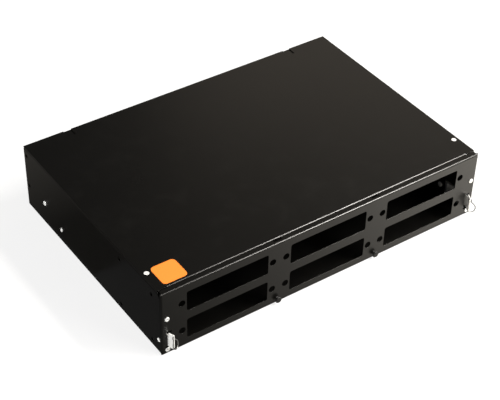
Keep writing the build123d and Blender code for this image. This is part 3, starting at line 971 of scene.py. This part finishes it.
@dataclass
class Shell(Assembly):
    """Folded shell, lift-off cover and what is screwed or stuck to them, sizes in millimetres."""

    cover_screw: CrossScrew = field(
        default_factory=lambda: CrossScrew(3.0, 1.2, 1.5, 3.4, 1.2, 0.3, 0.8, True)
    )
    earth_screw: CrossScrew = field(
        default_factory=lambda: CrossScrew(3.1, 1.2, 2.0, 6.0, 1.2, 0.35)
    )
    cad_earth_h: float = 2.2
    corner_r: float = 5.4
    rolled: float = 0.25
    laminate: float = 0.6
    cad_button_h: float = 1.7
    button_h: float = 1.1
    button_r: float = 2.5
    button_round: float = 0.8
    thread_r: float = 2.0
    striker_tip: float = 211.0
    rail_tip: float = 216.0

    def build(self) -> None:
        """Dress the sheet metal and model its small parts."""
        self.dress(
            "shell_floor", "shell_rear", "shell_side_left", "shell_side_right", "top_cover", "earth_nut"
        )
        self._cover_screws()
        self._sticker()
        self._side_screws("striker_screws", self.striker_tip)
        self._side_screws("rail_screws", self.rail_tip)
        self._earth_screw()

    def _cover_screws(self) -> None:
        """Countersunk screws at the cover's front corners."""
        low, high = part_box("cover_screws")
        screw = self.cover_screw
        x = high[0] - screw.head_r * MM
        seat = (x, (low[1] + high[1]) / 2, high[2] - screw.head_h * MM)
        right = screw.build("cover_screw_right", seat, (0, 0, 1))
        left = Bench.copy(right, "cover_screw_left", Matrix.Translation((-2 * x, 0, 0)))
        for piece in (right, left):
            self.mount(piece, "chassis", "cover_screws")

    def _sticker(self) -> None:
        """Bare orange film with rounded corners and a rolled edge."""
        low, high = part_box("blank_label")
        film = Bench.block("sticker", low, high)
        Bench.pick_edges(film, lambda a, b: abs(a.z - b.z) > 0.1 * MM)
        bpy.ops.mesh.bevel(offset=self.corner_r * MM, segments=10, affect="EDGES")
        Bench.pick(film, lambda centre, normal: normal.z > 0.9)
        bpy.ops.mesh.inset(thickness=self.rolled * MM)
        bpy.ops.mesh.inset(thickness=self.laminate * MM)
        bpy.ops.object.mode_set(mode="OBJECT")
        Bench.ease(film, 0.05 * MM, 2, 50.0)
        self.mount(film, "chassis", "blank_label")

    def _side_screws(self, node: str, tip: float) -> None:
        """Button heads on both walls.

        Args:
            node: The pair's node.
            tip: How far from the middle the thread ends, in millimetres.
        """
        low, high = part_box(node)
        y = (low[1] + high[1]) / 2
        z = (low[2] + high[2]) / 2
        head_r = self.button_r * MM
        face = high[0] - self.cad_button_h * MM
        middle = (face + self.button_h * MM / 2, y, z)
        screw = Bench.rod(f"{node}_right", middle, (1, 0, 0), head_r, self.button_h * MM, 48)
        Bench.pick(screw, lambda centre, normal: normal.x > 0.9)
        bpy.ops.mesh.bevel(offset=self.button_round * MM, segments=6, affect="EDGES")
        Bench.pick(screw, lambda centre, normal: normal.x < -0.9)
        bpy.ops.mesh.inset(thickness=head_r - self.thread_r * MM)
        Bench.pull((tip * MM - face, 0, 0))
        bpy.ops.object.mode_set(mode="OBJECT")
        Bench.ease(screw, 0.25 * MM, 2, 60.0)
        left = Bench.copy(screw, f"{node}_left", Matrix.Scale(-1, 4, (1, 0, 0)))
        self.mount(screw, "chassis", node)
        self.mount(left, "chassis", node)

    def _earth_screw(self) -> None:
        """Pan-head earth screw on the left wall."""
        low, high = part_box("earth_screw")
        screw = self.earth_screw
        screw.shank_l = (high[0] - low[0]) / MM - self.cad_earth_h - 0.05
        seat = (low[0] + self.cad_earth_h * MM, (low[1] + high[1]) / 2, (low[2] + high[2]) / 2)
        self.mount(screw.build("earth_screw_new", seat, (-1, 0, 0)), "chassis", "earth_screw")


@dataclass
class Front(Assembly):
    """Front panel with its screws and pull knobs, sizes in millimetres."""

    screw: CrossScrew = field(default_factory=lambda: CrossScrew(2.85, 1.2, recess=1.1, blade=0.35))
    cad_head_r: float = 3.3
    knob_reach: float = 4.8
    shank_r: float = 1.5
    foot_r: float = 2.6
    neck_r: float = 1.8
    head_r: float = 4.0

    def build(self) -> None:
        """Dress the panel and model what is fixed to it."""
        self.dress("front_panel", "drawer_tray", "knob_nuts", "tray_screws")
        self._panel_screws()
        for side in Side:
            self._knob(side)

    def _panel_screws(self) -> None:
        """Four pan-head screws, one rack unit apart."""
        low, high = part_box("panel_screws")
        x = high[0] - self.cad_head_r * MM
        seat = (x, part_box("front_panel")[0][1], low[2] + self.cad_head_r * MM)
        first = self.screw.build("panel_screw_1", seat, (0, -1, 0))
        step = high[2] - low[2] - 2 * self.cad_head_r * MM
        moves = ((0, 0, step), (-2 * x, 0, 0), (-2 * x, 0, step))
        others = [
            Bench.copy(first, f"panel_screw_{number}", Matrix.Translation(move))
            for number, move in enumerate(moves, start=2)
        ]
        for piece in (first, *others):
            self.mount(piece, "drawer", "panel_screws")

    def _knob(self, side: Side) -> None:
        """Mushroom pull knob, drawn out ring by ring from its shank.

        Args:
            side: The side of the enclosure that it stands on.
        """
        node = f"pull_knob_{side.word}"
        low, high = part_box(node)
        x = (low[0] + high[0]) / 2
        z = (low[2] + high[2]) / 2
        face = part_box("front_panel")[0][1]
        middle = (x, (face + high[1]) / 2, z)
        knob = Bench.rod(f"knob_{side.word}", middle, (0, 1, 0), self.shank_r * MM, high[1] - face, 40)
        Bench.pick(knob, lambda centre, normal: normal.y < -0.9)
        rings = (
            (0.0, self.foot_r),
            (0.35, self.foot_r),
            (0.7, self.neck_r),
            (2.4, self.neck_r),
            (2.8, self.head_r - 0.3),
            (3.1, self.head_r),
            (self.knob_reach - 0.75, self.head_r),
            (self.knob_reach - 0.35, self.head_r * 0.92),
            (self.knob_reach - 0.1, self.head_r * 0.72),
            (self.knob_reach, self.head_r * 0.4),
        )
        at, radius = 0.0, self.shank_r
        for reach, wanted in rings:
            Bench.pull((0, (at - reach) * MM, 0))
            Bench.spread((wanted / radius, 1.0, wanted / radius), (x, face, z))
            at, radius = reach, wanted
        bpy.ops.object.mode_set(mode="OBJECT")
        Bench.close(knob)
        Bench.ease(knob, 0.12 * MM, 2, 35.0)
        self.mount(knob, "drawer", node)


@dataclass
class Slides(Assembly):
    """Ball slides on both sides of the drawer."""

    members: tuple[str, ...] = ("slide_outer", "slide_inner", "ball_cage", "slide_balls")

    def build(self) -> None:
        """Dress every member, cage and ball."""
        for side in Side:
            self.dress(*[f"{member}_{side.word}" for member in self.members])


@dataclass
class Latch(Assembly):
    """Sprung tongues, their springs, pins and pull rings, sizes in millimetres and degrees."""

    leaf_t: float = 0.3
    leaf_root: float = 0.3
    leaf_drill: float = 4.0
    leaf_screw_r: float = 2.05
    leaf_runs: tuple[tuple[float, float], ...] = ((7.7, 0.0), (0.6, 0.0), (1.6, 1.0), (4.8, 0.0))
    screw_back: float = 6.0
    flex: tuple[float, float] = (8.3, 11.2)
    wire_r: float = 0.6
    wire_sides: int = 14
    lean: tuple[float, float] = (14.0, 22.5)
    yaw: float = 10.0
    eye_r: float = 1.4
    eye_run: float = 0.35
    neck_in: float = 25.0
    neck_run: float = 0.7
    neck_r: float = 1.3
    bow_out: float = 38.0
    bow_r: float = 5.3
    hang: tuple[float, float] = (0.0, 10.0)

    def build(self) -> None:
        """Dress the tongues and bend the rings."""
        self.dress("latch_pins")
        for side in Side:
            self.dress(f"latch_tongue_{side.word}")
            self._spring(side)
            self._ring(side)

    def _spring(self, side: Side) -> None:
        """Form the leaf spring that bears on the tongue.

        Args:
            side: The side of the enclosure that it stands on.
        """
        node = f"latch_spring_{side.word}"
        low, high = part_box(node)
        inner, outer = (high[0], low[0]) if side is Side.LEFT else (low[0], high[0])
        out = math.copysign(MM, outer - inner)
        x, y, z = inner + out * self.leaf_t, high[1], (low[2] + high[2]) / 2
        leaf = Bench.block(f"leaf_{side.word}", (inner, y - self.leaf_root * MM, low[2]), (x, y, high[2]))
        Bench.pick(leaf, lambda centre, normal: normal.y < -0.9)
        for run, rise in self.leaf_runs:
            for _ in range(2):
                Bench.pull((rise * out / 2, -run * MM / 2, 0))
        bpy.ops.object.mode_set(mode="OBJECT")
        hole = (inner, y - self.screw_back * MM, z)
        Bench.cut(leaf, Bench.rod("leaf_hole", hole, (1, 0, 0), self.leaf_screw_r * MM, self.leaf_drill * MM, 32))
        Bench.ease(leaf, 0.04 * MM, 2, 50.0)
        self.stand_in(leaf, node)
        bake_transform(leaf)
        LOG.info("built %s between the drawer and its tongue", leaf.name)

    def _ring(self, side: Side) -> None:
        """Bend the pull ring from wire: eye, neck, bow and back up to the eye.

        Args:
            side: The side of the enclosure that it stands on.
        """
        joint = next(row for row in frame["joints"] if row["name"] == f"ring_{side.word}_swing")
        root = Vector(joint["pos_m"])
        turn = Quaternion((0, 0, 1), math.radians(-side.value * self.yaw))
        across = turn @ Vector(joint["axis"]).normalized()
        down = Quaternion(across, math.radians(self.lean[side is Side.RIGHT])) @ Vector((0, 0, -1))
        tilt = Quaternion(across.cross(down), math.radians(self.hang[side is Side.RIGHT]))
        across, down = tilt @ across, tilt @ down
        plane = Matrix((across, down, across.cross(down))).transposed()
        half = 0.1 * MM
        wire = Bench.rod(
            f"ring_{side.word}_wire", root, across, self.wire_r * MM, 2 * half, self.wire_sides
        )
        Bench.pick(wire, lambda centre, normal: normal.dot(across) > 0.9)
        bender = WireBender(root, plane, half / MM)
        bender.run(self.eye_run)
        bender.bend(self.eye_r, 90.0 + self.neck_in)
        bender.run(self.neck_run)
        bender.bend(self.neck_r, -self.neck_in - self.bow_out)
        slope = math.radians(self.bow_out)
        leg = (self.bow_r * math.cos(slope) - bender.x) / math.sin(slope)
        bender.run(leg)
        bender.bend(self.bow_r, 180.0 + 2 * self.bow_out, 28)
        bender.run(leg)
        bender.bend(self.neck_r, -self.neck_in - self.bow_out)
        bender.run(self.neck_run)
        bender.bend(self.eye_r, 90.0 + self.neck_in)
        bpy.ops.object.mode_set(mode="OBJECT")
        near = self.eye_r * MM
        Bench.pick(
            wire, lambda centre, normal: abs(normal.dot(across)) > 0.9 and (centre - root).length < near
        )
        bpy.ops.mesh.bridge_edge_loops()
        bpy.ops.object.mode_set(mode="OBJECT")
        Bench.close(wire)
        bpy.ops.object.shade_smooth()
        self.mount(wire, f"ring_{side.word}", f"pull_ring_{side.word}")


@dataclass
class Storage(Assembly):
    """Slack spools, splice trays and cable anchors on the drawer."""

    pairs: tuple[str, ...] = ("slack_spool", "anchor_base", "anchor_cap")
    singles: tuple[str, ...] = ("splice_tray_1", "splice_tray_2", "splice_lid", "splice_stud", "wing_nut")

    def build(self) -> None:
        """Dress the moulded fittings and their screws."""
        for side in Side:
            self.dress(*[f"{pair}_{side.word}" for pair in self.pairs])
        self.dress(*self.singles, "anchor_screws")


@dataclass
class Entries(Assembly):
    """Rubber grommets in the rear wall."""

    count: int = 4

    def build(self) -> None:
        """Dress the grommets."""
        self.dress(*[f"cable_grommet_{number}" for number in range(1, self.count + 1)])


@dataclass(frozen=True)
class SoftBox:
    """One rectangular studio light, in metres and watts."""

    name: str
    place: tuple[float, float, float]
    wide: float
    tall: float
    power: float
    tint: Colour
    top: tuple[float, float, float] = (0.0, 0.0, 1.0)
    sheen: bool = True

    def hang(self, target: Vector) -> None:
        """Hang the light.

        Args:
            target: What it faces.
        """
        data = bpy.data.lights.new(self.name, "AREA")
        data.shape = "RECTANGLE"
        data.size = self.wide
        data.size_y = self.tall
        data.energy = self.power
        data.color = self.tint
        lamp = bpy.data.objects.new(self.name, data)
        back = (Vector(self.place) - target).normalized()
        across = Vector(self.top).cross(back).normalized()
        turn = Matrix((across, back.cross(across), back)).transposed()
        lamp.matrix_world = Matrix.Translation(self.place) @ turn.to_4x4()
        lamp.visible_glossy = self.sheen
        bpy.context.scene.collection.objects.link(lamp)


@dataclass
class Studio:
    """Floor, soft lights and the camera, in metres and degrees."""

    azimuth: float = -35.72745
    elevation: float = 39.37074
    roll: float = 1.59797
    focal_px: float = 1353.6
    width_px: float = 500.0
    eye: tuple[float, float, float] = (-0.73715, -1.02444, 1.04797)
    floor_z: float = -0.0002
    card_low: tuple[float, float, float] = (-0.5, -1.35, -0.00015)
    card_high: tuple[float, float, float] = (1.2, -0.1535, -0.0001)
    side_low: tuple[float, float, float] = (-1.2, 0.0, -0.00015)
    side_high: tuple[float, float, float] = (-0.222, 1.2, -0.0001)
    room: Colour = (0.95, 0.97, 1.0)
    room_light: float = 0.045
    boxes: tuple[SoftBox, ...] = (
        SoftBox("rear_window", (1.35, 1.35, 1.0), 1.1, 0.8, 1.7, (1.0, 0.87, 0.71)),
        SoftBox("overhead", (0.88, -0.66, 1.33), 0.34, 1.1, 66.0, (1.0, 0.96, 0.9), (0.0, 1.0, 0.0)),
        SoftBox("front_fill", (0.9, -2.0, 0.6), 0.8, 0.5, 52.0, (1.0, 0.99, 0.97), sheen=False),
        SoftBox("left_fill", (-1.6, 0.1, 0.5), 0.6, 0.5, 44.0, (1.0, 0.99, 0.98), sheen=False),
    )

    def build(self, stock: Stock) -> None:
        """Set up the whole studio.

        Args:
            stock: The materials.
        """
        self._floor(stock)
        self._camera()
        self._room()
        for box in self.boxes:
            box.hang(Vector((0.0, 0.0, 0.05)))

    def _floor(self, stock: Stock) -> None:
        """A wide white sweep, and two cards hidden from the camera whose painted glow stands in for light bounced
        off reflector cards.

        Args:
            stock: Every material of the enclosure.
        """
        Bench.clear()
        bpy.ops.mesh.primitive_plane_add(size=60.0, location=(0, 0, self.floor_z))
        sweep = bpy.context.object
        sweep.name = "studio_floor"
        sweep.visible_glossy = False
        cards = (
            Bench.block("bounce_card", self.card_low, self.card_high),
            Bench.block("side_card", self.side_low, self.side_high),
        )
        # The cards glow with painted light and are hidden from the camera and from shadow rays.
        for card in cards:
            card.visible_camera = False
            card.visible_shadow = False
        for piece in (sweep, *cards):
            stock.paint(piece, piece.name)

    def _camera(self) -> None:
        """A camera where the photograph was taken from."""
        a = math.radians(self.azimuth)
        e = math.radians(self.elevation)
        back = Vector((math.sin(a) * math.cos(e), -math.cos(a) * math.cos(e), math.sin(e)))
        right = (-back).cross(Vector((0, 0, 1))).normalized()
        up = right.cross(-back)
        c, s = math.cos(math.radians(self.roll)), math.sin(math.radians(self.roll))
        basis = Matrix((c * right + s * up, -s * right + c * up, back)).transposed()
        lens = bpy.data.cameras.new("camera")
        lens.sensor_width = 36.0
        lens.lens = self.focal_px / self.width_px * lens.sensor_width
        lens.clip_end = 50.0
        camera = bpy.data.objects.new("camera", lens)
        camera.matrix_world = Matrix.Translation(self.eye) @ basis.to_4x4()
        bpy.context.scene.collection.objects.link(camera)
        bpy.context.scene.camera = camera

    def _room(self) -> None:
        """A dim neutral room with white walls in sight."""
        world = bpy.data.worlds.new("room")
        world.use_nodes = True
        tree = world.node_tree
        shade = tree.nodes["Background"]
        seen = tree.nodes.new("ShaderNodeBackground")
        both = tree.nodes.new("ShaderNodeMixShader")
        rays = tree.nodes.new("ShaderNodeLightPath")
        for light, strength in ((shade, self.room_light), (seen, 1.0)):
            light.inputs["Color"].default_value = (*self.room, 1.0)
            light.inputs["Strength"].default_value = strength
        tree.links.new(rays.outputs["Is Camera Ray"], both.inputs[0])
        tree.links.new(shade.outputs[0], both.inputs[1])
        tree.links.new(seen.outputs[0], both.inputs[2])
        tree.links.new(both.outputs[0], tree.nodes["World Output"].inputs[0])
        bpy.context.scene.world = world
        bpy.context.scene.view_settings.view_transform = "Standard"


def main() -> None:
    """Build every sub-assembly in order."""
    logging.basicConfig(level=logging.INFO, format="%(name)s: %(message)s")
    stock = Stock()
    for assembly in (Shell, Front, Slides, Latch, Storage, Entries):
        assembly(stock).build()
    Studio().build(stock)
    Bench.clear()


if __name__ == "__main__":
    main()
